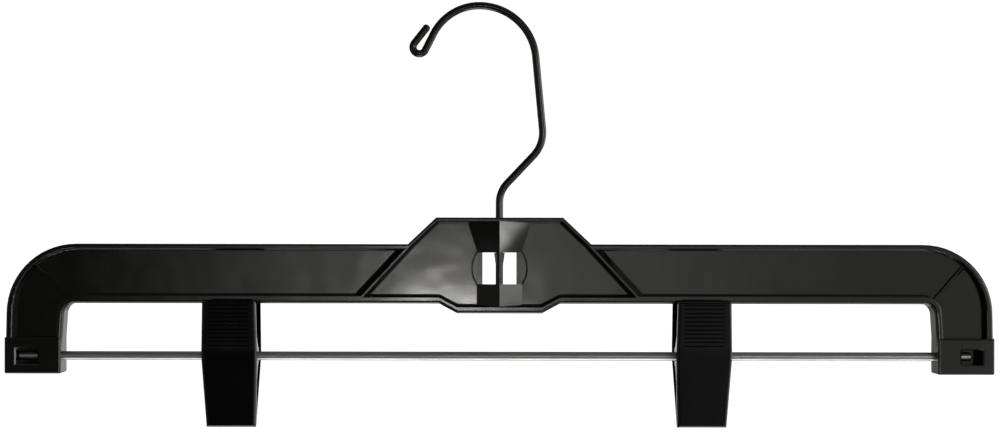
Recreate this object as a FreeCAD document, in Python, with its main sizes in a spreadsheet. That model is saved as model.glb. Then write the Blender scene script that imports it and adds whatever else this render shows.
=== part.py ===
import FreeCAD, Part
import Sketcher
import math
import os

# Skirt hanger: a moulded frame with a swivelling wire hook, and a steel rod between
# its two feet that carries two sprung pinch clips.
# Heights are counted from the rod's axis while a piece is drawn. Each piece's Placement
# then lowers it, so that the origin lies inside the hook's bow, on the swivel axis,
# where a rail bears. X runs along the rod, and -Y faces the viewer.

sizes = {
    # frame outline
    "overall_width": 355.6,
    "frame_depth": 9.0,
    "arm_top": 40.5,
    "arm_bottom": 19.1,
    "shoulder_radius": 25.0,
    "inner_corner_radius": 4.0,
    "leg_width": 20.3,
    "leg_outer_lean": 0.5,
    "leg_inner_lean": 0.8,
    "leg_inset": 0.2,
    "pod_top": 50.1,
    "pod_top_width": 45.7,
    "pod_slant_run": 10.15,
    "bulge_bottom": 15.6,
    "bulge_base_width": 43.4,
    "bulge_flat_width": 30.4,
    # rims, ribs and panels of the frame
    "rim_upper": 1.8,
    "rim_lower": 3.0,
    "rim_leg": 2.3,
    "slant_rim": 3.05,
    "rib_run": 14.1,
    "rib_crest": 1.5,
    "rib_lean": 1.4,
    "rib_slope": 2.2,
    "rib_slope_drop": 0.7,
    "wall_lean": 0.6,
    "arm_web": 2.6,
    "leg_web": 1.6,
    "pod_web": 4.0,
    "mitre_angle": 49.0,
    "ridge_crest": 0.4,
    "ridge_slope": 0.9,
    "ridge_height": 0.6,
    "upper_rounding": 0.7,
    "lower_rounding": 1.1,
    "recess_rounding": 0.45,
    "pod_rounding": 0.3,
    "pod_cove": 0.5,
    "arm_cove": 0.6,
    # feet
    "foot_top": 6.8,
    "foot_drop": 6.2,
    "foot_proud": 0.8,
    "foot_rounding": 0.7,
    "foot_window_width": 7.8,
    "foot_window_height": 5.3,
    "foot_outer_wall": 4.1,
    "foot_window_chamfer": 0.5,
    # hook housing in the pod
    "window_top": 37.5,
    "window_width": 12.2,
    "window_height": 11.4,
    "pocket_radius": 9.7,
    "pocket_web": 2.0,
    "pocket_chamfer": 0.5,
    "boss_depth": 8.2,
    "boss_top_width": 23.6,
    "boss_waist_width": 15.9,
    "boss_lower_width": 16.4,
    "socket_depth": 4.5,
    "hook_clearance": 0.08,
    # hook
    "wire_diameter": 2.7,
    "bow_height": 106.29,
    "bow_shift": 7.35,
    "bow_right_radius": 20.5,
    "bow_left_radius": 18.6,
    "neck_lean": 5.4,
    "neck_bend_radius": 12.0,
    "stem_lean": 43.4,
    "stem_bend_radius": 10.0,
    "stem_corner": 59.6,
    "bow_left_turn": 63.3,
    "beak_length": 6.6,
    "curl_radius": 2.35,
    "curl_turn": 191.5,
    "tip_length": 8.2,
    "wire_end_rounding": 1.1,
    "ear_width": 3.9,
    "ear_thickness": 1.7,
    "ear_length": 4.4,
    "ear_play": 0.15,
    "tail_play": 0.4,
    # rod
    "rod_diameter": 3.2,
    "rod_left_play": 0.2,
    "rod_right_play": 3.2,
    "rod_clearance": 0.05,
    "rod_chamfer": 0.3,
    # pinch clips
    "left_clip_place": 96.8,
    "right_clip_place": 73.2,
    "handle_height": 20.3,
    "handle_reach": 9.7,
    "waist_reach": 8.3,
    "lip_drop": 25.6,
    "lip_reach": 2.0,
    "plate_thickness": 1.9,
    "handle_width": 19.0,
    "waist_width": 20.0,
    "lip_width": 17.6,
    "waist_blend": 3.0,
    "plate_rounding": 1.1,
    "grip_gap": 0.3,
    "tooth_height": 0.55,
    "tooth_pitch": 1.6,
    "tooth_count": 3,
    "jaw_clearance": 0.08,
    "ear_wall": 1.6,
    "cheek_rise": 11.0,
    "cheek_drop": 11.0,
    "cheek_thickness": 1.6,
    "cheek_inset": 0.45,
    "cheek_play": 0.3,
    "grip_rib_count": 12,
    "grip_rib_pitch": 1.48,
    "grip_rib_width": 14.4,
    "grip_rib_base": 0.95,
    "grip_rib_height": 0.22,
    "grip_rib_start": 3.4,
    # clip springs
    "spring_wire": 1.0,
    "spring_coil_diameter": 5.2,
    "spring_pitch": 1.6,
    "spring_turns": 6,
    "spring_leg": 9.0,
    "spring_leg_gap": 0.3,
}

doc = FreeCAD.newDocument("SkirtHanger")
sheet = doc.addObject("Spreadsheet::Sheet", "Sizes")
for row, (name, value) in enumerate(sizes.items(), 1):
    sheet.set(f"A{row}", name)
    sheet.set(f"B{row}", str(value))
    sheet.setAlias(f"B{row}", name)
doc.recompute()

tiny = 1e-6
under_rims = 0.5  # share of a rim's width that a panel leaves uncovered where it reaches under it
facing_outward = 0.9  # least share of an outer face's normal that points away from the other jaw


class Size:
    # A number together with the sheet formula that gives it.
    def __init__(self, value, formula):
        self.value = value
        self.formula = formula

    def __add__(self, other):
        other = as_size(other)
        return Size(self.value + other.value, f"({self.formula} + {other.formula})")

    def __radd__(self, other):
        return as_size(other) + self

    def __sub__(self, other):
        other = as_size(other)
        return Size(self.value - other.value, f"({self.formula} - {other.formula})")

    def __rsub__(self, other):
        return as_size(other) - self

    def __mul__(self, other):
        other = as_size(other)
        return Size(self.value * other.value, f"({self.formula} * {other.formula})")

    def __rmul__(self, other):
        return as_size(other) * self

    def __truediv__(self, other):
        other = as_size(other)
        return Size(self.value / other.value, f"({self.formula} / {other.formula})")

    def __neg__(self):
        return 0 - self


def as_size(item):
    if isinstance(item, Size):
        return item
    return Size(float(item), repr(float(item)))


def size(name):
    return Size(float(sheet.get(name)), f"Sizes.{name}")


def sine(angle):
    return Size(math.sin(math.radians(angle.value)), f"sin({angle.formula})")


def cosine(angle):
    return Size(math.cos(math.radians(angle.value)), f"cos({angle.formula})")


def square_root(item):
    return Size(math.sqrt(item.value), f"sqrt({item.formula})")


def slope_angle(rise, run):
    return Size(math.degrees(math.atan(rise.value / run.value)), f"atan({rise.formula} / {run.formula})")


def bind(thing, **formulas):
    # Ties properties of an object to the sheet. A double underscore stands for a dot.
    for name, item in formulas.items():
        thing.setExpression(name.replace("__", "."), as_size(item).formula)


def lower_to_origin(thing):
    bind(thing, Placement__Base__z=-seat_height)


# Sketch and feature helpers

def new_body(name):
    body = doc.addObject("PartDesign::Body", name)
    body.Label = name
    return body


def new_sketch(body, name, plane, offset=None):
    sketch = body.newObject("Sketcher::SketchObject", name)
    base = next(item for item in body.Origin.OriginFeatures if item.Role == plane)
    sketch.AttachmentSupport = [(base, "")]
    sketch.MapMode = "FlatFace"
    if offset is not None:
        bind(sketch, AttachmentOffset__Base__z=offset)
    return sketch


def arc_between(start, finish, radius, turn):
    chord = finish - start
    half = chord.Length / 2
    left = FreeCAD.Vector(-chord.y, chord.x, 0).normalize()
    inset = math.sqrt(max(radius * radius - half * half, 0))
    centre = (start + finish) / 2 + left * inset * turn
    circle = Part.Circle(centre, FreeCAD.Vector(0, 0, 1), radius)
    first, last = (start, finish) if turn > 0 else (finish, start)
    angles = [math.atan2(point.y - centre.y, point.x - centre.x) for point in (first, last)]
    return Part.ArcOfCircle(circle, *angles)


def draw_loop(sketch, corners):
    # A closed outline. A corner is (x, y), or (x, y, radius, turn) where the next side
    # is an arc that turns left (1) or right (-1). Both coordinates and the radius are bound.
    sides = []
    constraints = []
    formulas = []
    for here, after in zip(corners, corners[1:] + corners[:1]):
        start = FreeCAD.Vector(as_size(here[0]).value, as_size(here[1]).value, 0)
        finish = FreeCAD.Vector(as_size(after[0]).value, as_size(after[1]).value, 0)
        if len(here) == 2:
            sides.append((sketch.addGeometry(Part.LineSegment(start, finish)), 1, 2))
            continue
        radius, turn = here[2:]
        ends = (1, 2) if turn > 0 else (2, 1)
        sides.append((sketch.addGeometry(arc_between(start, finish, radius.value, turn)), *ends))
    for number, (index, start, finish) in enumerate(sides):
        before, first, last = sides[number - 1]
        constraints.append(Sketcher.Constraint("Coincident", before, last, index, start))
        formulas.append(None)
        for kind, item in zip(("DistanceX", "DistanceY"), map(as_size, corners[number][:2])):
            constraints.append(Sketcher.Constraint(kind, -1, 1, index, start, item.value))
            formulas.append(item)
        if len(corners[number]) > 2:
            radius = corners[number][2]
            constraints.append(Sketcher.Constraint("Radius", index, radius.value))
            formulas.append(radius)
    first = sketch.ConstraintCount
    sketch.addConstraint(constraints)
    for number, item in enumerate(formulas):
        if item is not None:
            sketch.setExpression(f"Constraints[{first + number}]", item.formula)


def mirrored(corners):
    # The same outline on the other side of the sketch's upright axis.
    turned = []
    for number, corner in enumerate(reversed(corners)):
        side = corners[len(corners) - 2 - number]
        turned.append((-corner[0], corner[1], *side[2:]))
    return turned


def pad(body, name, sketch, length, symmetric=True):
    feature = body.newObject("PartDesign::Pad", name)
    feature.Profile = sketch
    feature.SideType = "Symmetric" if symmetric else "One side"
    bind(feature, Length=length)
    doc.recompute()
    return feature


def join_profiles(body, name, start, finish, kind="AdditiveLoft"):
    # A solid with straight sides between two outlines, added or cut.
    feature = body.newObject(f"PartDesign::{kind}", name)
    feature.Profile = start
    feature.Sections = [finish]
    feature.Ruled = True
    doc.recompute()
    return feature


def carve(body, name, kind, turn=None, **formulas):
    # A box or cylinder that is cut from, or added to, the body.
    feature = body.newObject(f"PartDesign::{kind}", name)
    if turn is not None:
        feature.Placement = FreeCAD.Placement(FreeCAD.Vector(), turn)
    bind(feature, **formulas)
    doc.recompute()
    return feature


def round_edges(body, name, feature, edges, radius):
    fillet = body.newObject("PartDesign::Fillet", name)
    fillet.Base = (feature, edges)
    bind(fillet, Radius=radius)
    doc.recompute()
    return fillet


def bevel_edges(body, name, feature, edges, reach):
    chamfer = body.newObject("PartDesign::Chamfer", name)
    chamfer.Base = (feature, edges)
    bind(chamfer, Size=reach)
    doc.recompute()
    return chamfer


def edge_names(feature, wanted):
    return [f"Edge{number}" for number, edge in enumerate(feature.Shape.Edges, 1) if wanted(edge)]


along_x = FreeCAD.Rotation(FreeCAD.Vector(0, 1, 0), 90)
along_y = FreeCAD.Rotation(FreeCAD.Vector(1, 0, 0), -90)
front_to_back = FreeCAD.Rotation(FreeCAD.Vector(1, 0, 0), 90)

# Heights that several pieces share

wire_radius = size("wire_diameter") / 2
rod_radius = size("rod_diameter") / 2
bow_inner = size("bow_right_radius") - wire_radius
bow_inner_rise = square_root(bow_inner * bow_inner - size("bow_shift") * size("bow_shift"))
seat_height = size("bow_height") + bow_inner_rise
window_bottom = size("window_top") - size("window_height")
half_width = size("overall_width") / 2
half_depth = size("frame_depth") / 2
leg_inner = half_width - size("leg_width")
window_outer = half_width - size("foot_outer_wall")
pod_half = size("pod_top_width") / 2
pod_base_half = pod_half + size("pod_slant_run")


# Frame

outer_top = half_width - size("leg_outer_lean")
outer_foot = half_width - size("leg_inset")
shoulder_foot = size("arm_top") - size("shoulder_radius")
inner_top = leg_inner - size("leg_inner_lean")
inner_foot = leg_inner + size("leg_inset")
corner_foot = size("arm_bottom") - size("inner_corner_radius")
mitre_outer = size("shoulder_radius") - size("rim_upper") / 2
mitre_rise = size("arm_bottom") + size("rim_lower") / 2 - shoulder_foot
mitre_inner = mitre_rise / sine(size("mitre_angle"))


def frame_outline():
    # Right half of the outer edge, from the pod's top clockwise to the bulge's bottom.
    shoulder = size("shoulder_radius")
    corner = size("inner_corner_radius")
    return [
        (pod_half, size("pod_top")),
        (pod_base_half, size("arm_top")),
        (outer_top - shoulder, size("arm_top"), shoulder, -1),
        (outer_top, shoulder_foot),
        (outer_foot, 0),
        (inner_foot, 0),
        (inner_top, corner_foot, corner, 1),
        (inner_top - corner, size("arm_bottom")),
        (size("bulge_base_width") / 2, size("arm_bottom")),
        (size("bulge_flat_width") / 2, size("bulge_bottom")),
    ]


def slant_line(height):
    # Where the pod's slanting outer edge stands at a height, as a distance from the middle.
    rate = size("pod_slant_run") / (size("pod_top") - size("arm_top"))
    return pod_half + (size("pod_top") - height) * rate


def rib_line(height):
    # Where the rib meets the pod's panel at a height.
    drop = size("arm_top") - size("arm_bottom") - size("rim_lower")
    rate = (size("rib_run") + size("slant_rim")) / drop
    return pod_base_half - size("slant_rim") + (size("arm_top") - height) * rate


def leg_outer_line(height):
    return outer_foot - (outer_foot - outer_top) * height / shoulder_foot


def leg_inner_line(height):
    return inner_foot - (inner_foot - inner_top) * height / corner_foot


def pod_opening(flare=0):
    # Right half of the pod's recess at its panel (0), or at its mouth (1), to which the walls flare.
    wall = flare * size("wall_lean")
    lean = flare * size("rib_lean")
    ceiling = size("pod_top") - size("rim_upper") + wall
    floor = size("arm_bottom") + size("rim_lower") - wall
    return [
        (slant_line(ceiling) - size("slant_rim") + lean, ceiling),
        (pod_base_half - size("slant_rim") + lean, size("arm_top")),
        (rib_line(floor) + lean, floor),
        (size("bulge_base_width") / 2, floor),
        (size("bulge_flat_width") / 2, size("bulge_bottom") + size("rim_lower") - wall),
    ]


def arm_opening(share=1):
    # The right arm's and leg's recess, clockwise from the rib's top. The rims and the rib's crest
    # are counted in full, or by a share where a panel reaches under them.
    ceiling = size("arm_top") - share * size("rim_upper")
    floor = size("arm_bottom") + share * size("rim_lower")
    leg_rim = share * size("rim_leg")
    radius = size("shoulder_radius") - leg_rim
    corner = size("inner_corner_radius") + leg_rim
    crest = size("rib_lean") + share * size("rib_crest")
    foot = size("foot_top") / 2
    return [
        (rib_line(ceiling) + crest, ceiling),
        (outer_top - size("shoulder_radius"), ceiling, radius, -1),
        (outer_top - leg_rim, ceiling - radius),
        (leg_outer_line(foot) - leg_rim, foot),
        (leg_inner_line(foot) + leg_rim, foot),
        (inner_top + leg_rim, floor - corner, corner, 1),
        (inner_top + leg_rim - corner, floor),
        (rib_line(floor) + crest, floor),
    ]


def mitre_point(reach, aside=0):
    # A point at a reach from the right shoulder's centre along the mitre, or aside of it by the foot.
    run = cosine(size("mitre_angle"))
    rise = sine(size("mitre_angle"))
    centre = outer_top - size("shoulder_radius")
    return centre + reach * run + aside * rise, shoulder_foot + reach * rise - aside * run


def arm_panel():
    # The arm's panel: from inside the rib to the mitre at the shoulder, under the rims.
    ceiling = size("arm_top") - size("rim_upper") / 2
    floor = size("arm_bottom") + size("rim_lower") / 2
    crest = size("rib_lean") + size("rib_crest") / 2
    return [
        (rib_line(ceiling) + crest, ceiling),
        (outer_top - size("shoulder_radius"), ceiling, mitre_outer, -1),
        mitre_point(mitre_outer),
        mitre_point(mitre_inner),
        (rib_line(floor) + crest, floor),
    ]


def mitre_ridge(run):
    # The ridge along the right shoulder's mitre, wider than its crest by a run on each side.
    half = size("ridge_crest") / 2 + run
    return [
        mitre_point(mitre_outer, -half),
        mitre_point(mitre_outer, half),
        mitre_point(mitre_inner, half),
        mitre_point(mitre_inner, -half),
    ]


def rib_side(run):
    # The right rib's outer side, from the middle of its crest out by a run, between the rims.
    ceiling = size("arm_top") - size("rim_upper") / 2
    floor = size("arm_bottom") + size("rim_lower") / 2
    near = size("rib_lean") + size("rib_crest") / 2
    far = size("rib_lean") + size("rib_crest") + run
    return [
        (rib_line(ceiling) + near, ceiling),
        (rib_line(ceiling) + far, ceiling),
        (rib_line(floor) + far, floor),
        (rib_line(floor) + near, floor),
    ]


def whole(half):
    return half + mirrored(half)


def flat_faces(feature, depth):
    # Flat faces at a depth in front of the mid-plane and behind it.
    boxes = [(face, face.BoundBox) for face in feature.Shape.Faces]
    return [face for face, box in boxes if box.YLength < tiny and abs(abs(box.YMin) - depth.value) < tiny]


def named_edges(feature, edges):
    return edge_names(feature, lambda edge: any(edge.isSame(item) for item in edges))


def panel_edges(feature, depth, reach=half_width):
    # Edges round the panels at a depth, apart from straight ones beyond a reach from the middle.
    edges = [edge for face in flat_faces(feature, depth) for edge in face.OuterWire.Edges]
    return named_edges(feature, [
        edge for edge in edges
        if abs(edge.CenterOfMass.x) < reach.value or not isinstance(edge.Curve, Part.Line)
    ])


def rim_place(edge, wire, face):
    # Where an edge of a rim face is: round the pod or an arm, or on the upper or lower side of the
    # perimeter. The perimeter's edge under a leg is inside its foot.
    if not wire.isSame(face.OuterWire):
        return "pod" if wire.BoundBox.XMin * wire.BoundBox.XMax < 0 else "arms"
    middle = edge.CenterOfMass
    if edge.BoundBox.ZMax < tiny:
        return "foot"
    below = middle.z < sheet.arm_bottom + tiny
    return "lower" if below and abs(middle.x) < inner_foot.value else "upper"


def rim_edges(feature, place):
    # Edges of the front and back rim faces at a place.
    return named_edges(feature, [
        edge
        for face in flat_faces(feature, half_depth)
        for wire in face.Wires
        for edge in wire.Edges
        if rim_place(edge, wire, face) == place
    ])


def build_foot(body, side, name):
    # A box at the foot of a leg, with a window in front for the rod's end.
    width = size("leg_width")
    proud = size("foot_proud")
    near = leg_inner if side > 0 else -half_width
    foot = carve(
        body, f"{name}_foot", "AdditiveBox",
        Length=width,
        Width=size("frame_depth") + 2 * proud,
        Height=size("foot_top") + size("foot_drop"),
        Placement__Base__x=near,
        Placement__Base__y=-half_depth - proud,
        Placement__Base__z=-size("foot_drop"),
    )
    front = (half_depth + proud).value
    foot_edges = edge_names(
        foot,
        lambda edge: edge.CenterOfMass.x * side > 0
        and (
            abs(abs(edge.CenterOfMass.y) - front) < tiny
            or edge.BoundBox.ZMax + sheet.foot_drop < tiny
        ),
    )
    round_edges(body, f"{name}_foot_rounding", foot, foot_edges, size("foot_rounding"))
    window = carve(
        body, f"{name}_foot_window", "SubtractiveBox",
        Length=size("foot_window_width"),
        Width=size("frame_depth"),
        Height=size("foot_window_height"),
        Placement__Base__x=window_outer - size("foot_window_width") if side > 0 else -window_outer,
        Placement__Base__y=rod_radius + size("rod_clearance") - size("frame_depth"),
        Placement__Base__z=-size("foot_window_height") / 2,
    )
    window_edges = edge_names(
        window,
        lambda edge: edge.CenterOfMass.x * side > 0
        and edge.BoundBox.YMax + front < tiny
        and abs(edge.CenterOfMass.z) < sheet.foot_window_height / 2 + tiny
        and abs(edge.CenterOfMass.x) < window_outer.value + tiny
        and abs(edge.CenterOfMass.x) > window_outer.value - sheet.foot_window_width - tiny,
    )
    bevel_edges(body, f"{name}_foot_window_chamfer", window, window_edges, size("foot_window_chamfer"))
    carve(
        body, f"{name}_rod_bore", "SubtractiveCylinder", along_x,
        Radius=rod_radius + size("rod_clearance"),
        Height=window_outer - leg_inner,
        Placement__Base__x=leg_inner if side > 0 else -window_outer,
    )


def roof_profile(body, name, height, width):
    # The housing's cross-section: a ridge in front and behind that slopes to the pod's panel.
    sketch = new_sketch(body, name, "XY_Plane", height)
    half = width / 2
    edge = size("pod_web") / 2
    crest = size("boss_depth") / 2
    draw_loop(sketch, [(half, edge), (0, crest), (-half, edge), (-half, -edge), (0, -crest), (half, -edge)])
    return sketch


def add_slopes(body, name, outline, run, low, high):
    # A slope on each arm, on both faces, that runs out as it goes down from one depth to another.
    for face_name, face in (("front", 1), ("back", -1)):
        for side_name, turned in (("right", list), ("left", mirrored)):
            place = f"{side_name}_{face_name}_{name}"
            foot = new_sketch(body, f"{place}_foot", "XZ_Plane", face * low)
            draw_loop(foot, turned(outline(run)))
            crest = new_sketch(body, f"{place}_crest", "XZ_Plane", face * high)
            draw_loop(crest, turned(outline(as_size(0))))
            join_profiles(body, f"{place}_slope", foot, crest)


def build_frame():
    body = new_body("hanger_frame")
    rims = new_sketch(body, "rim_sketch", "XZ_Plane")
    draw_loop(rims, whole(frame_outline()))
    draw_loop(rims, arm_opening())
    draw_loop(rims, mirrored(arm_opening()))
    pad(body, "rims", rims, size("frame_depth"))

    # the pod's recess on both faces, whose walls flare to its mouth and meet its panel in a cove
    for name, face in (("front", 1), ("back", -1)):
        mouth = new_sketch(body, f"{name}_pod_mouth", "XZ_Plane", face * half_depth)
        draw_loop(mouth, whole(pod_opening(1)))
        panel = new_sketch(body, f"{name}_pod_panel", "XZ_Plane", face * size("pod_web") / 2)
        draw_loop(panel, whole(pod_opening()))
        join_profiles(body, f"{name}_pod_recess", mouth, panel, "SubtractiveLoft")
    round_edges(body, "pod_rounding", body.Tip, rim_edges(body.Tip, "pod"), size("pod_rounding"))
    pod_feet = panel_edges(body.Tip, size("pod_web") / 2)
    round_edges(body, "pod_cove", body.Tip, pod_feet, size("pod_cove"))
    for place, name in (
        ("upper", "upper_rounding"),
        ("lower", "lower_rounding"),
        ("arms", "recess_rounding"),
    ):
        edges = rim_edges(body.Tip, place)
        round_edges(body, name, body.Tip, edges, size(name))

    leg_panels = new_sketch(body, "leg_panel_sketch", "XZ_Plane")
    draw_loop(leg_panels, arm_opening(under_rims))
    draw_loop(leg_panels, mirrored(arm_opening(under_rims)))
    pad(body, "leg_panels", leg_panels, size("leg_web"))
    arm_panels = new_sketch(body, "arm_panel_sketch", "XZ_Plane")
    draw_loop(arm_panels, arm_panel())
    draw_loop(arm_panels, mirrored(arm_panel()))
    pad(body, "arm_panels", arm_panels, size("arm_web"))

    # each rib slopes from just under its crest to the arm's panel, and a ridge parts that from the leg's
    arm_depth = size("arm_web") / 2
    crest_depth = half_depth - size("rib_slope_drop")
    add_slopes(body, "rib", rib_side, size("rib_slope"), arm_depth, crest_depth)
    arm_feet = panel_edges(body.Tip, arm_depth, outer_top - size("shoulder_radius"))
    round_edges(body, "arm_cove", body.Tip, arm_feet, size("arm_cove"))
    ridge_depth = arm_depth + size("ridge_height")
    add_slopes(body, "ridge", mitre_ridge, size("ridge_slope"), size("leg_web") / 2, ridge_depth)

    # round pocket on both faces, roofed housings above and below it
    pocket_middle = size("window_top") - size("window_height") / 2
    for name, start in (("front", -half_depth), ("back", size("pocket_web") / 2)):
        carve(
            body, f"{name}_pocket", "SubtractiveCylinder", along_y,
            Radius=size("pocket_radius"),
            Height=half_depth - size("pocket_web") / 2,
            Placement__Base__y=start,
            Placement__Base__z=pocket_middle,
        )
    brink = size("pod_web") / 2
    pocket_edges = edge_names(
        body.Tip,
        lambda edge: abs(abs(edge.CenterOfMass.y) - brink.value) < tiny
        and isinstance(edge.Curve, Part.Circle)
        and abs(edge.Curve.Radius - sheet.pocket_radius) < tiny,
    )
    bevel_edges(body, "pocket_chamfer", body.Tip, pocket_edges, size("pocket_chamfer"))
    waist = roof_profile(body, "housing_waist", size("window_top"), size("boss_waist_width"))
    roof_top = size("pod_top") - size("rim_upper") / 2
    top = roof_profile(body, "housing_top", roof_top, size("boss_top_width"))
    join_profiles(body, "upper_housing", waist, top)
    lower_start = size("bulge_bottom") + size("rim_lower") / 2
    lower = roof_profile(body, "lower_housing_sketch", lower_start, size("boss_lower_width"))
    pad(body, "lower_housing", lower, window_bottom - lower_start, symmetric=False)

    carve(
        body, "hook_window", "SubtractiveBox",
        Length=size("window_width"),
        Width=size("frame_depth"),
        Height=size("window_height"),
        Placement__Base__x=-size("window_width") / 2,
        Placement__Base__y=-half_depth,
        Placement__Base__z=window_bottom,
    )
    for name, start, height in (
        ("hook_bore", size("window_top"), size("pod_top") - size("window_top")),
        ("tail_socket", window_bottom - size("socket_depth"), size("socket_depth")),
    ):
        carve(
            body, name, "SubtractiveCylinder",
            Radius=wire_radius + size("hook_clearance"),
            Height=height,
            Placement__Base__z=start,
        )
    build_foot(body, -1, "left")
    build_foot(body, 1, "right")
    lower_to_origin(body)
    return body


# Hook

class WirePath:
    # Straight runs and tangent bends in the hook's plane, walked from the tail to the tip.
    def __init__(self, height):
        self.place = FreeCAD.Vector(0, 0, height)
        self.heading = 90.0
        self.edges = []

    def ahead(self, turn=0):
        angle = math.radians(self.heading + turn)
        return FreeCAD.Vector(math.cos(angle), 0, math.sin(angle))

    def run(self, length):
        finish = self.place + self.ahead() * length
        self.edges.append(Part.LineSegment(self.place, finish).toShape())
        self.place = finish

    def bend(self, radius, turn):
        # A left turn is positive.
        side = 90 if turn > 0 else -90
        centre = self.place + self.ahead(side) * radius
        middle = centre - self.ahead(side + turn / 2) * radius
        finish = centre - self.ahead(side + turn) * radius
        self.edges.append(Part.Arc(self.place, middle, finish).toShape())
        self.place = finish
        self.heading += turn


def hook_path():
    lean = sheet.stem_lean
    neck_turn = lean + sheet.neck_lean
    stem_tangent = sheet.stem_bend_radius * math.tan(math.radians(lean / 2))
    neck_tangent = sheet.neck_bend_radius * math.tan(math.radians(neck_turn / 2))
    # the neck's line touches the bow on its right, and meets the slanting run at a corner
    neck_angle = math.radians(sheet.neck_lean)
    touch_x = sheet.bow_right_radius * math.cos(neck_angle) - sheet.bow_shift
    touch_z = sheet.bow_height + sheet.bow_right_radius * math.sin(neck_angle)
    slant = math.radians(lean)
    drop_rate = math.cos(slant) / math.sin(slant)
    corner_x = touch_x + (touch_z - sheet.stem_corner) * math.tan(neck_angle)
    corner_x /= 1 + drop_rate * math.tan(neck_angle)
    corner_z = sheet.stem_corner + corner_x * drop_rate
    slant_length = corner_x / math.sin(slant)
    neck_length = (touch_z - corner_z) / math.cos(neck_angle)

    path = WirePath(tail_end.value)
    path.run(sheet.stem_corner - stem_tangent - tail_end.value)
    path.bend(sheet.stem_bend_radius, -lean)
    path.run(slant_length - stem_tangent - neck_tangent)
    path.bend(sheet.neck_bend_radius, neck_turn)
    path.run(neck_length - neck_tangent)
    path.bend(sheet.bow_right_radius, 90 - sheet.neck_lean)
    path.bend(sheet.bow_left_radius, sheet.bow_left_turn)
    path.run(sheet.beak_length)
    path.bend(sheet.curl_radius, -sheet.curl_turn)
    path.run(sheet.tip_length)
    return path


tail_end = window_bottom - size("socket_depth") + size("tail_play")


def build_hook():
    walk = hook_path()
    spine = doc.addObject("Part::Feature", "hook_spine")
    spine.Shape = Part.Wire(walk.edges)
    section = doc.addObject("Part::Circle", "hook_section")
    bind(section, Radius=wire_radius, Placement__Base__z=tail_end)
    wire = doc.addObject("Part::Sweep", "hook_wire")
    wire.Sections = [section]
    wire.Spine = (spine, [])
    wire.Solid = True
    doc.recompute()

    # both cut ends of the wire are rounded
    ends = (FreeCAD.Vector(0, 0, tail_end.value), walk.place)
    rounded = doc.addObject("Part::Fillet", "hook_wire_rounded")
    rounded.Base = wire
    rounding = sheet.wire_end_rounding
    rounded.Edges = [
        (number, rounding, rounding)
        for number, edge in enumerate(wire.Shape.Edges, 1)
        if any(edge.CenterOfMass.distanceToPoint(end) < rounding for end in ends)
    ]
    doc.recompute()

    # ears squeezed out of the wire, which hang under the upper housing
    ears = doc.addObject("Part::Wedge", "hook_ears")
    ears.Placement = FreeCAD.Placement(FreeCAD.Vector(), front_to_back.inverted())
    half = size("ear_width") / 2
    thick = size("ear_thickness") / 2
    bind(
        ears,
        Xmin=-half, Xmax=half, X2min=-wire_radius, X2max=wire_radius,
        Zmin=-thick, Zmax=thick, Z2min=-thick, Z2max=thick,
        Ymin=0, Ymax=size("ear_length"),
        Placement__Base__z=size("window_top") - size("ear_play"),
    )
    hook = doc.addObject("Part::Fuse", "swivel_hook")
    hook.Label = "swivel_hook"
    hook.Base = rounded
    hook.Tool = ears
    hook.Refine = True
    lower_to_origin(hook)
    doc.recompute()
    return hook


# Rod

def build_rod():
    bar = doc.addObject("Part::Cylinder", "rod_bar")
    bar.Placement = FreeCAD.Placement(FreeCAD.Vector(), along_x)
    bind(
        bar,
        Radius=rod_radius,
        Height=2 * window_outer - size("rod_left_play") - size("rod_right_play"),
        Placement__Base__x=size("rod_left_play") - window_outer,
    )
    doc.recompute()
    rod = doc.addObject("Part::Chamfer", "clip_rod")
    rod.Label = "clip_rod"
    rod.Base = bar
    chamfer = sheet.rod_chamfer
    rod.Edges = [
        (number, chamfer, chamfer)
        for number, edge in enumerate(bar.Shape.Edges, 1)
        if edge.BoundBox.XLength < tiny
    ]
    lower_to_origin(rod)
    doc.recompute()
    return rod


# Clip jaws. The front jaw lies at -Y. The back jaw is its mirror image, with its cheeks further in.

ear_radius = rod_radius + size("jaw_clearance") + size("ear_wall")
handle_slope = (size("handle_reach") - size("waist_reach")) / size("handle_height")
waist_inner = size("waist_reach") - size("plate_thickness")
lip_inner = size("grip_gap") / 2


def blend(before, corner, after, turn):
    # An arc in place of a blunt corner, which leaves both sides at the same distance from it.
    reach = size("waist_blend")
    ends = []
    upper_slope = slope_angle(before[0] - corner[0], before[1])
    lower_slope = slope_angle(corner[0] - after[0], -after[1])
    half_turn = turn * (upper_slope - lower_slope) / 2
    for other in (before, after):
        run = other[0] - corner[0]
        length = square_root(run * run + other[1] * other[1])
        ends.append((corner[0] + run * reach / length, other[1] * reach / length))
    radius = reach * cosine(half_turn) / sine(half_turn)
    return [(*ends[0], radius, turn), ends[1]]


def plate_profile(side):
    # Side view of the plate: outer face from the handle to the lip, then the teeth and the inner face.
    handle = (size("handle_reach"), size("handle_height"))
    waist = (size("waist_reach"), 0)
    lip = (size("lip_reach"), -size("lip_drop"))
    corners = [handle, *blend(handle, waist, lip, -1), lip]
    valley = lip_inner + size("tooth_height")
    for tooth in range(int(sheet.tooth_count)):
        foot = tooth * size("tooth_pitch") - size("lip_drop")
        corners.append((lip_inner, foot))
        corners.append((lip_inner, foot + size("tooth_pitch") / 2))
        corners.append((valley, foot + size("tooth_pitch")))
    corners.append((waist_inner, 0))
    corners.append((size("handle_reach") - size("plate_thickness"), size("handle_height")))
    return facing(corners, side)


def facing(corners, side):
    # The same side view for the jaw in front (-1) or behind (1).
    turned = []
    for y, z, *arc in corners:
        if arc:
            arc = [arc[0], arc[1] * side]
        turned.append((side * y, z, *arc))
    return turned


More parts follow.
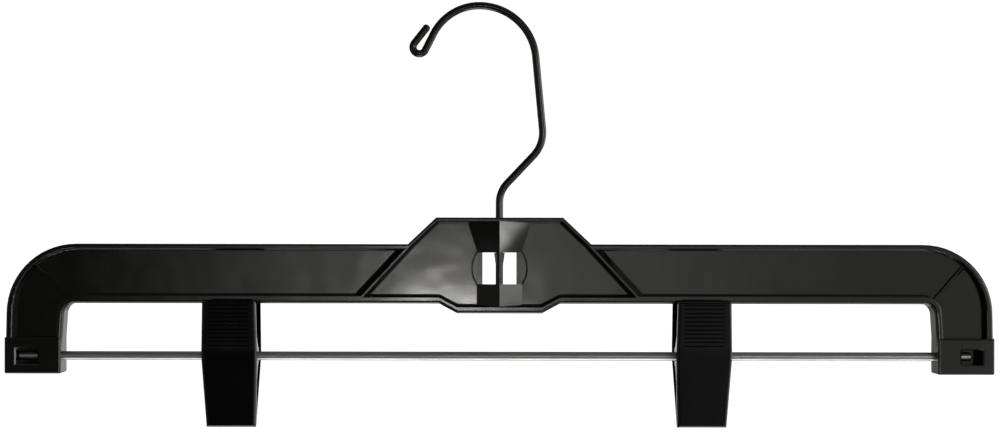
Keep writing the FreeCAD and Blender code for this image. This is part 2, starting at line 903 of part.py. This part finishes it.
def cheek_profile(side):
    # Side view of a cheek: from inside the plate to a round ear about the rod.
    sink = size("plate_thickness") / 2
    upper = waist_inner + sink + size("cheek_rise") * handle_slope
    lower_slope = (size("waist_reach") - size("lip_reach")) / size("lip_drop")
    lower = waist_inner + sink - size("cheek_drop") * lower_slope
    corners = [
        (upper, size("cheek_rise")),
        (waist_inner + sink, 0),
        (lower, -size("cheek_drop")),
        (0, -ear_radius, ear_radius, -1),
        (-ear_radius, 0, ear_radius, -1),
        (0, ear_radius),
    ]
    return facing(corners, side)


def trim_outline():
    # What the front view takes off the right side of the plate, which is widest at the rod.
    spare = size("plate_thickness")
    top = (size("handle_width") / 2, size("handle_height") + spare)
    waist = (size("waist_width") / 2, 0)
    foot = (size("lip_width") / 2, -size("lip_drop") - spare)
    return [
        top,
        *blend(top, waist, foot, -1),
        foot,
        (waist[0] + spare, foot[1]),
        (waist[0] + spare, top[1]),
    ]


def build_jaw(name, side, centre, cheek_outer):
    body = new_body(name)
    plate = new_sketch(body, f"{name}_plate_sketch", "YZ_Plane")
    draw_loop(plate, plate_profile(side))
    pad(body, f"{name}_plate", plate, size("waist_width"))
    trim = new_sketch(body, f"{name}_trim_sketch", "XZ_Plane")
    draw_loop(trim, trim_outline())
    draw_loop(trim, mirrored(trim_outline()))
    trimmed = body.newObject("PartDesign::Pocket", f"{name}_trim")
    trimmed.Profile = trim
    trimmed.Type = "ThroughAll"
    trimmed.SideType = "Symmetric"
    doc.recompute()

    # the outer face's side and end edges are eased
    outer_faces = [face for face in trimmed.Shape.Faces if face.normalAt(0, 0).y * side > facing_outward]
    outer_edges = [edge for face in outer_faces for edge in face.Edges]
    border = edge_names(trimmed, lambda edge: sum(edge.isSame(item) for item in outer_edges) == 1)
    round_edges(body, f"{name}_rounding", trimmed, border, size("plate_rounding"))

    cheek = new_sketch(body, f"{name}_cheek_sketch", "YZ_Plane", cheek_outer - size("cheek_thickness"))
    draw_loop(cheek, cheek_profile(side))
    right_cheek = pad(body, f"{name}_cheek", cheek, size("cheek_thickness"), symmetric=False)
    cheeks = body.newObject("PartDesign::Mirrored", f"{name}_cheeks")
    cheeks.Originals = [right_cheek]
    middle = next(item for item in body.Origin.OriginFeatures if item.Role == "YZ_Plane")
    cheeks.MirrorPlane = (middle, [""])
    body.Tip = cheeks
    doc.recompute()

    # finger ribs across the handle, drawn on a plane that leans with it
    rib_sketch = new_sketch(body, f"{name}_rib_sketch", "YZ_Plane")
    tilt = slope_angle(size("handle_reach") - size("waist_reach"), size("handle_height"))
    rib_sketch.AttachmentOffset = FreeCAD.Placement(
        FreeCAD.Vector(), FreeCAD.Rotation(FreeCAD.Vector(0, 0, -side), tilt.value)
    )
    bind(rib_sketch, AttachmentOffset__Base__x=side * size("waist_reach"))
    bind(rib_sketch, AttachmentOffset__Rotation__Angle=tilt)
    sink = size("plate_rounding") / 2
    start = size("grip_rib_start")
    crest = start + size("grip_rib_base") / 2
    rib_corners = [
        (-sink, start),
        (0, start),
        (size("grip_rib_height"), crest),
        (0, start + size("grip_rib_base")),
        (-sink, start + size("grip_rib_base")),
    ]
    draw_loop(rib_sketch, facing(rib_corners, side))
    rib = pad(body, f"{name}_rib", rib_sketch, size("grip_rib_width"))
    ribs = body.newObject("PartDesign::LinearPattern", f"{name}_ribs")
    ribs.Originals = [rib]
    ribs.Direction = (rib_sketch, ["V_Axis"])
    bind(
        ribs,
        Length=size("grip_rib_pitch") * (size("grip_rib_count") - 1),
        Occurrences=size("grip_rib_count"),
    )
    body.Tip = ribs
    doc.recompute()

    carve(
        body, f"{name}_bore", "SubtractiveCylinder", along_x,
        Radius=rod_radius + size("jaw_clearance"),
        Height=size("waist_width"),
        Placement__Base__x=-size("waist_width") / 2,
    )
    bind(body, Placement__Base__x=centre)
    lower_to_origin(body)
    return body


# Clip springs: one wire, from a leg behind the front handle, round the rod, to a leg before the back one

def biarc(start, start_way, finish, finish_way):
    # Two arcs that leave and arrive along the given directions.
    span = finish - start
    ways = start_way + finish_way
    fold = 2 * (1 - start_way.dot(finish_way))
    reach = (math.sqrt(span.dot(ways) ** 2 + fold * span.dot(span)) - span.dot(ways)) / fold
    knees = (start + start_way * reach, finish - finish_way * reach)
    join = (knees[0] + knees[1]) / 2
    return [arc_by_knee(start, knees[0], join), arc_by_knee(join, knees[1], finish)]


def arc_by_knee(start, knee, finish):
    middle = (start + finish) / 2
    half = (finish - start).Length / 2
    rise = knee - middle
    bulge = half * math.tan(math.atan2(rise.Length, half) / 2)
    return Part.Arc(start, middle + rise.normalize() * bulge, finish).toShape()


def spring_wire_path():
    radius = sheet.spring_coil_diameter / 2
    lean = math.atan(handle_slope.value)
    # the legs flare until their ends lie a small gap from the handles' inner faces
    face_distance = waist_inner.value * math.cos(lean)
    spread = face_distance - sheet.spring_wire / 2 - sheet.spring_leg_gap
    flare = math.asin(spread / math.hypot(radius, sheet.spring_leg)) - math.atan2(radius, sheet.spring_leg)
    first = math.pi + lean + flare
    last = 2 * math.pi * sheet.spring_turns - lean - flare
    advance = sheet.spring_pitch / (2 * math.pi)

    def place(angle):
        shift = advance * (angle - (first + last) / 2)
        return FreeCAD.Vector(shift, radius * math.cos(angle), radius * math.sin(angle))

    def way(angle):
        return FreeCAD.Vector(advance, -radius * math.sin(angle), radius * math.cos(angle)).normalize()

    quarters = math.ceil((last - first) / (math.pi / 2))
    angles = [first + (last - first) * step / quarters for step in range(quarters + 1)]
    leg_start = place(first) - way(first) * sheet.spring_leg
    leg_end = place(last) + way(last) * sheet.spring_leg
    edges = [Part.LineSegment(leg_start, place(first)).toShape()]
    for here, after in zip(angles, angles[1:]):
        edges += biarc(place(here), way(here), place(after), way(after))
    edges.append(Part.LineSegment(place(last), leg_end).toShape())
    return Part.Wire(edges), leg_start, way(first)


def least_gap(path, wire, coil):
    # Least distance between the wire and itself, on points a step apart along its path.
    step = wire / 2
    points = path.discretize(Distance=step)
    skip = int(coil * math.pi / 2 / step)
    gaps = [
        point.distanceToPoint(other)
        for number, point in enumerate(points)
        for other in points[number + skip:]
    ]
    return min(gaps) - wire


def build_spring(name, centre):
    path, start, way = spring_wire_path()
    section = Part.Wire(Part.Circle(start, way, sheet.spring_wire / 2).toShape())
    spring = doc.addObject("Part::Feature", name)
    spring.Label = name
    spring.Shape = path.makePipeShell([section], True, False)
    bind(spring, Placement__Base__x=centre)
    lower_to_origin(spring)
    doc.recompute()
    gap = least_gap(path, sheet.spring_wire, sheet.spring_coil_diameter)
    share = spring.Shape.Volume / (path.Length * math.pi * sheet.spring_wire ** 2 / 4)
    print(f"{name}: least gap to itself {gap:.2f} mm, volume over section times length {share:.4f}")
    return spring


def build_clip(side_name, centre):
    outer = size("waist_width") / 2 - size("cheek_inset")
    inner = outer - size("cheek_thickness") - size("cheek_play")
    return [
        build_jaw(f"{side_name}_clip_front_jaw", -1, centre, outer),
        build_jaw(f"{side_name}_clip_back_jaw", 1, centre, inner),
        build_spring(f"{side_name}_clip_spring", centre),
    ]


pieces = [build_frame(), build_hook(), build_rod()]
pieces += build_clip("left", -size("left_clip_place"))
pieces += build_clip("right", size("right_clip_place"))
doc.recompute()

faults = [item.Name for item in doc.Objects if "Invalid" in item.State or "Error" in item.State]
faults += [item.Label for item in pieces if item.Shape.isNull() or not item.Shape.isValid()]
faults += [item.Label for item in pieces if len(item.Shape.Solids) != 1]
if faults:
    raise RuntimeError(f"these objects failed: {faults}")

os.makedirs("parts", exist_ok=True)
for item in pieces:
    item.Shape.exportStep(f"parts/{item.Label}.step")
    print(f"{item.Label}: {item.Shape.Volume:.1f} mm3")
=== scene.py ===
import math

import bpy
from mathutils import Matrix, Vector


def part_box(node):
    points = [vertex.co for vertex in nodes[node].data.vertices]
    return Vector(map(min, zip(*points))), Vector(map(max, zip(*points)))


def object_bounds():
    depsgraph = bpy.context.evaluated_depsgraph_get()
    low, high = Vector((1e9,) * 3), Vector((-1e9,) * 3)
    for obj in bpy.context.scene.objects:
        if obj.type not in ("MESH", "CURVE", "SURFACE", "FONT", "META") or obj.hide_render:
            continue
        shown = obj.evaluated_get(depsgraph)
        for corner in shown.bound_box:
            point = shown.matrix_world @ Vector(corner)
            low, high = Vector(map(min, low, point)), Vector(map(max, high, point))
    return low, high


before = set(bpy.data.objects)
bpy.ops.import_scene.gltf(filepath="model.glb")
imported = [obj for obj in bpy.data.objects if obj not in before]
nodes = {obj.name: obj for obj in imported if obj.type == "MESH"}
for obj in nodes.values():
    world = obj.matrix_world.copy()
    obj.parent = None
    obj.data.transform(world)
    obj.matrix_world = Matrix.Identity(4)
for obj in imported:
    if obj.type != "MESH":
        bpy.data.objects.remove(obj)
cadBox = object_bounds()
rodLow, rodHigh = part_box("clip_rod")
rodAxis = (rodLow + rodHigh) / 2
noiseMean = 0.5  # a noise swings about this value
print("frame loaded:", len(nodes), "nodes")


class Signal:  # a shader socket that can stand in a sum
    def __init__(self, shading, socket):
        self.shading = shading
        self.socket = socket

    def work(self, operation, first, second=0.0):
        return self.shading.node("ShaderNodeMath", {"operation": operation}, {0: first, 1: second})

    def __add__(self, other):
        return self.work("ADD", self, other)

    def __radd__(self, other):
        return self.work("ADD", other, self)

    def __sub__(self, other):
        return self.work("SUBTRACT", self, other)

    def __rsub__(self, other):
        return self.work("SUBTRACT", other, self)

    def __mul__(self, other):
        return self.work("MULTIPLY", self, other)

    def __rmul__(self, other):
        return self.work("MULTIPLY", other, self)

    def __abs__(self):
        return self.work("ABSOLUTE", self)


class Shading:  # the nodes of one material or of the world
    def __init__(self, tree):
        self.tree = tree

    def node(self, kind, settings=None, sockets=None, output=0):
        made = self.tree.nodes.new(kind)
        for name, value in (settings or {}).items():
            setattr(made, name, value)
        for name, value in (sockets or {}).items():
            self.feed(made.inputs[name], value)
        return Signal(self, made.outputs[output])

    def feed(self, socket, value):
        if isinstance(value, Signal):
            self.tree.links.new(value.socket, socket)
        else:
            socket.default_value = value

    def place(self):  # where a point lies on the piece, in metres
        return self.node("ShaderNodeTexCoord", output="Object")

    def along(self, vector, axis):
        return self.node("ShaderNodeSeparateXYZ", None, {0: vector}, axis)

    def stretched(self, vector, scale):
        return self.node("ShaderNodeMapping", None, {"Vector": vector, "Scale": scale})

    def noise(self, vector, scale, detail=2.0, roughness=0.5):
        return self.node(
            "ShaderNodeTexNoise", None,
            {"Vector": vector, "Scale": scale, "Detail": detail, "Roughness": roughness},
        )

    def ramp(self, value, start, finish):  # 0 before start, 1 after finish, smooth between
        return self.node(
            "ShaderNodeMapRange", {"interpolation_type": "SMOOTHSTEP"},
            {"Value": value, "From Min": start, "From Max": finish},
        )

    def blended(self, share, first, second):  # two colours
        return self.node("ShaderNodeMix", {"data_type": "RGBA"}, {0: share, 6: first, 7: second}, 2)

    def relief(self, height, depth, under=None):
        sockets = {"Height": height, "Distance": depth}
        if under is not None:
            sockets["Normal"] = under
        return self.node("ShaderNodeBump", None, sockets)


class Finish(Shading):  # a material around one Principled shader
    def __init__(self, name):
        self.material = bpy.data.materials.new(name)
        self.material.use_nodes = True
        super().__init__(self.material.node_tree)
        self.shader = self.tree.nodes["Principled BSDF"]

    def give(self, sockets):
        for name, value in sockets.items():
            self.feed(self.shader.inputs[name], value)

    def paint(self, *names):
        for name in names:
            for slot in nodes[name].material_slots:
                slot.material = self.material


# moulded frame: glossy black, with gently sunk panels a touch smoother than the rims
framePlastic = {
    "black": (0.0043, 0.0041, 0.0035, 1.0),
    "greyed": (0.0078, 0.0075, 0.0066, 1.0),
    "ior": 1.5,
    "rimRoughness": 0.12,
    "panelRoughness": 0.1,
    "rimStart": 0.0032,  # distance from the mid-plane where panels end
    "rimFull": 0.0042,
    "sinkScale": 42.0,
    "sinkDepth": 0.00016,
    "sinkDulling": 0.08,  # swing of the roughness over the sunk patches
    "flowScale": (110.0, 110.0, 170.0),
    "flowDepth": 0.000004,
    "flowDulling": 0.03,
    "grainScale": 3200.0,
    "grainDepth": 0.0000035,
}


def makeFramePlastic(look):
    finish = Finish("frame_plastic_moulded")
    here = finish.place()
    depth = abs(finish.along(here, "Y"))
    rim = finish.ramp(depth, look["rimStart"], look["rimFull"])
    sink = finish.noise(here, look["sinkScale"])
    flow = finish.noise(finish.stretched(here, look["flowScale"]), 1.0, 3.0)
    grain = finish.noise(here, look["grainScale"])
    roughness = look["panelRoughness"] + (look["rimRoughness"] - look["panelRoughness"]) * rim
    roughness = roughness + look["sinkDulling"] * (sink - noiseMean)
    roughness = roughness + look["flowDulling"] * (flow - noiseMean)
    normal = finish.relief(sink, look["sinkDepth"])
    normal = finish.relief(flow, look["flowDepth"], normal)
    normal = finish.relief(grain, look["grainDepth"], normal)
    finish.give({
        "Base Color": finish.blended(flow, look["black"], look["greyed"]),
        "Roughness": roughness,
        "IOR": look["ior"],
        "Normal": normal,
    })
    return finish


makeFramePlastic(framePlastic).paint("hanger_frame")

# pinch clips: a deeper black, drier, rubbed smooth on the handles
clipPlastic = {
    "black": (0.0012, 0.0012, 0.0015, 1.0),
    "greyed": (0.0028, 0.0027, 0.0033, 1.0),
    "ior": 1.5,
    "specular": 0.27,
    "roughness": 0.2,
    "rubbed": 0.14,
    "rubbedRise": 0.012,  # height over the rod where the handle is fully rubbed
    "grainScale": 2600.0,
    "grainDepth": 0.000003,
    "sinkScale": 70.0,
    "sinkDepth": 0.00006,
    "sinkDulling": 0.1,
}


def makeClipPlastic(look):
    finish = Finish("clip_plastic_moulded")
    here = finish.place()
    height = finish.along(here, "Z")
    handle = finish.ramp(height, rodAxis.z, rodAxis.z + look["rubbedRise"])
    sink = finish.noise(here, look["sinkScale"])
    grain = finish.noise(here, look["grainScale"])
    roughness = look["roughness"] + (look["rubbed"] - look["roughness"]) * handle
    normal = finish.relief(sink, look["sinkDepth"])
    normal = finish.relief(grain, look["grainDepth"], normal)
    finish.give({
        "Base Color": finish.blended(sink, look["black"], look["greyed"]),
        "Roughness": roughness + look["sinkDulling"] * (sink - noiseMean),
        "IOR": look["ior"],
        "Specular IOR Level": look["specular"],
        "Normal": normal,
    })
    return finish


makeClipPlastic(clipPlastic).paint(
    "left_clip_front_jaw", "left_clip_back_jaw", "right_clip_front_jaw", "right_clip_back_jaw"
)

# hook: black enamelled wire
hookWire = {
    "black": (0.002, 0.002, 0.002, 1.0),
    "greyed": (0.006, 0.006, 0.006, 1.0),
    "specular": 0.4,
    "roughness": 0.14,
    "peelScale": 900.0,
    "peelDepth": 0.000008,
    "cloudScale": 160.0,
    "cloudDulling": 0.12,
}


def makeHookWire(look):
    finish = Finish("hook_wire_enamel")
    here = finish.place()
    peel = finish.noise(here, look["peelScale"], 1.0)
    cloud = finish.noise(here, look["cloudScale"])
    finish.give({
        "Base Color": finish.blended(cloud, look["black"], look["greyed"]),
        "Roughness": look["roughness"] + look["cloudDulling"] * (cloud - noiseMean),
        "Specular IOR Level": look["specular"],
        "Normal": finish.relief(peel, look["peelDepth"]),
    })
    return finish


makeHookWire(hookWire).paint("swivel_hook")

# rod and springs: drawn steel, with fine lines along the rod
drawnSteel = {
    "bright": (0.48, 0.478, 0.471, 1.0),
    "dull": (0.3, 0.298, 0.292, 1.0),
    "roughness": 0.42,
    "lineScale": (9.0, 2200.0, 2200.0),
    "lineDepth": 0.000004,
    "lineShare": 0.5,  # of the change from bright to dull
    "lineDulling": 0.1,
    "stainScale": (90.0, 400.0, 400.0),
    "stainShare": 0.5,
    "stainDulling": 0.16,
}


def makeDrawnSteel(name, look):
    finish = Finish(name)
    here = finish.place()
    lines = finish.noise(finish.stretched(here, look["lineScale"]), 1.0, 3.0, 0.6)
    stain = finish.noise(finish.stretched(here, look["stainScale"]), 1.0, 3.0)
    dulled = lines * look["lineShare"] + stain * look["stainShare"]
    roughness = look["roughness"] + look["stainDulling"] * (stain - noiseMean)
    finish.give({
        "Base Color": finish.blended(dulled, look["bright"], look["dull"]),
        "Metallic": 1.0,
        "Roughness": roughness + look["lineDulling"] * (lines - noiseMean),
        "Normal": finish.relief(lines, look["lineDepth"]),
    })
    return finish


makeDrawnSteel("rod_steel_drawn", drawnSteel).paint("clip_rod")
makeDrawnSteel("spring_steel_drawn", drawnSteel).paint("left_clip_spring", "right_clip_spring")
print("finishes given to", len(nodes), "nodes")

# camera: level, a little to the left of the middle, at the photograph's distance
camera = {
    "distance": 0.650,  # from the frame's mid-plane
    "aboveRod": 0.0438,
    "aside": -0.015,
    "lens": 64.68,
    "sensor": 36.0,
    "shiftUp": 0.0185,
    "shiftRight": 0.0006,
    "roll": 0.09,  # degrees
}


def addCamera(look):
    data = bpy.data.cameras.new("camera")
    data.sensor_width = look["sensor"]
    data.lens = look["lens"]
    # the shift brings the middle back into the middle of the picture
    centred = -look["aside"] / look["distance"] * look["lens"] / look["sensor"]
    data.shift_x = centred + look["shiftRight"]
    data.shift_y = look["shiftUp"]
    eye = bpy.data.objects.new("camera", data)
    level = Matrix.Rotation(math.radians(90), 4, "X")
    roll = Matrix.Rotation(math.radians(look["roll"]), 4, "Z")
    spot = Vector((look["aside"], -look["distance"], rodAxis.z + look["aboveRod"]))
    eye.matrix_world = Matrix.Translation(spot) @ level @ roll
    bpy.context.scene.collection.objects.link(eye)
    bpy.context.scene.camera = eye


addCamera(camera)

# floor: plain and pale, under the hanging object
floor = {
    "drop": 0.06,
    "size": 60.0,
    "colour": (0.9, 0.9, 0.89, 1.0),
    "roughness": 0.8,
    "glowColour": (1.0, 1.0, 1.0, 1.0),
    "glow": 0.9,
}


def addFloor(look):
    finish = Finish("floor_pale")
    finish.give({
        "Base Color": look["colour"],
        "Roughness": look["roughness"],
        "Emission Color": look["glowColour"],
        "Emission Strength": look["glow"],
    })
    spot = (0, 0, cadBox[0].z - look["drop"])
    bpy.ops.mesh.primitive_plane_add(size=look["size"], location=spot)
    plane = bpy.context.object
    plane.name = "floor"
    plane.data.materials.append(finish.material)
    plane.visible_glossy = False  # the room below gives the reflections
    plane.visible_diffuse = False


addFloor(floor)

# room: white where the camera looks past the object. Around the object it is dim,
# brighter to the right and straight below, and shaded overhead
room = {
    "seen": 1.06,
    "colour": (1.0, 0.992, 0.955, 1.0),
    "dim": 0.045,
    "left": 0.22,
    "leftEdge": (-0.33, -0.58),  # share of the way that points right
    "right": 0.43,
    "rightEdge": (0.053, 0.193),
    "beside": 3.4,
    "besideEdge": (0.82, 0.985),
    "shade": 0.75,  # share of all these that is gone overhead
    "shadeEdge": (0.16, 0.5),  # share of the way that points up
    "above": 0.25,
    "aboveEdge": (0.72, 0.95),
    "below": 4.6,
    "belowEdge": (-0.885, -0.97),
}

# soft lights in the room: the way each lies from the object, its reach as a share
# of that way, and its strength
softLights = {
    "fill": {"way": (0.003, -1.0, -0.02), "reach": 0.23, "strength": 1.28},
    "key": {"way": (-0.009, -1.0, -0.06), "reach": 0.036, "strength": 35.0},
    "side": {"way": (0.44, -0.898, 0.035), "reach": 0.145, "strength": 13.0},
    "rear": {"way": (-0.02, 1.0, 0.03), "reach": 0.34, "strength": 1.7},
    "high": {"way": (0.69, -0.4, 0.6), "reach": 0.38, "strength": 0.7},
    "low": {"way": (0.69, -0.4, -0.6), "reach": 0.38, "strength": 1.2},
}


def addRoom(look, lights):
    world = bpy.data.worlds.new("room")
    bpy.context.scene.world = world
    world.use_nodes = True
    shading = Shading(world.node_tree)
    way = shading.node("ShaderNodeTexCoord", output="Generated")
    aside = shading.along(way, "X")
    height = shading.along(way, "Z")
    glow = look["dim"]
    for part in ("left", "right", "beside"):
        glow = glow + look[part] * shading.ramp(aside, *look[part + "Edge"])
    glow = glow * (1.0 - look["shade"] * shading.ramp(height, *look["shadeEdge"]))
    for part in ("above", "below"):
        glow = glow + look[part] * shading.ramp(height, *look[part + "Edge"])
    for light in lights.values():
        ends = {0: way, 1: Vector(light["way"]).normalized()}
        apart = shading.node("ShaderNodeVectorMath", {"operation": "DISTANCE"}, ends, "Value")
        glow = glow + light["strength"] * shading.ramp(apart, light["reach"], 0.0)
    seen = shading.node("ShaderNodeLightPath", output="Is Camera Ray")
    background = world.node_tree.nodes["Background"]
    shading.feed(background.inputs["Strength"], glow + seen * (look["seen"] - glow))
    shading.feed(background.inputs["Color"], look["colour"])


addRoom(room, softLights)
bpy.context.scene.view_settings.view_transform = "Standard"
print("stage set")
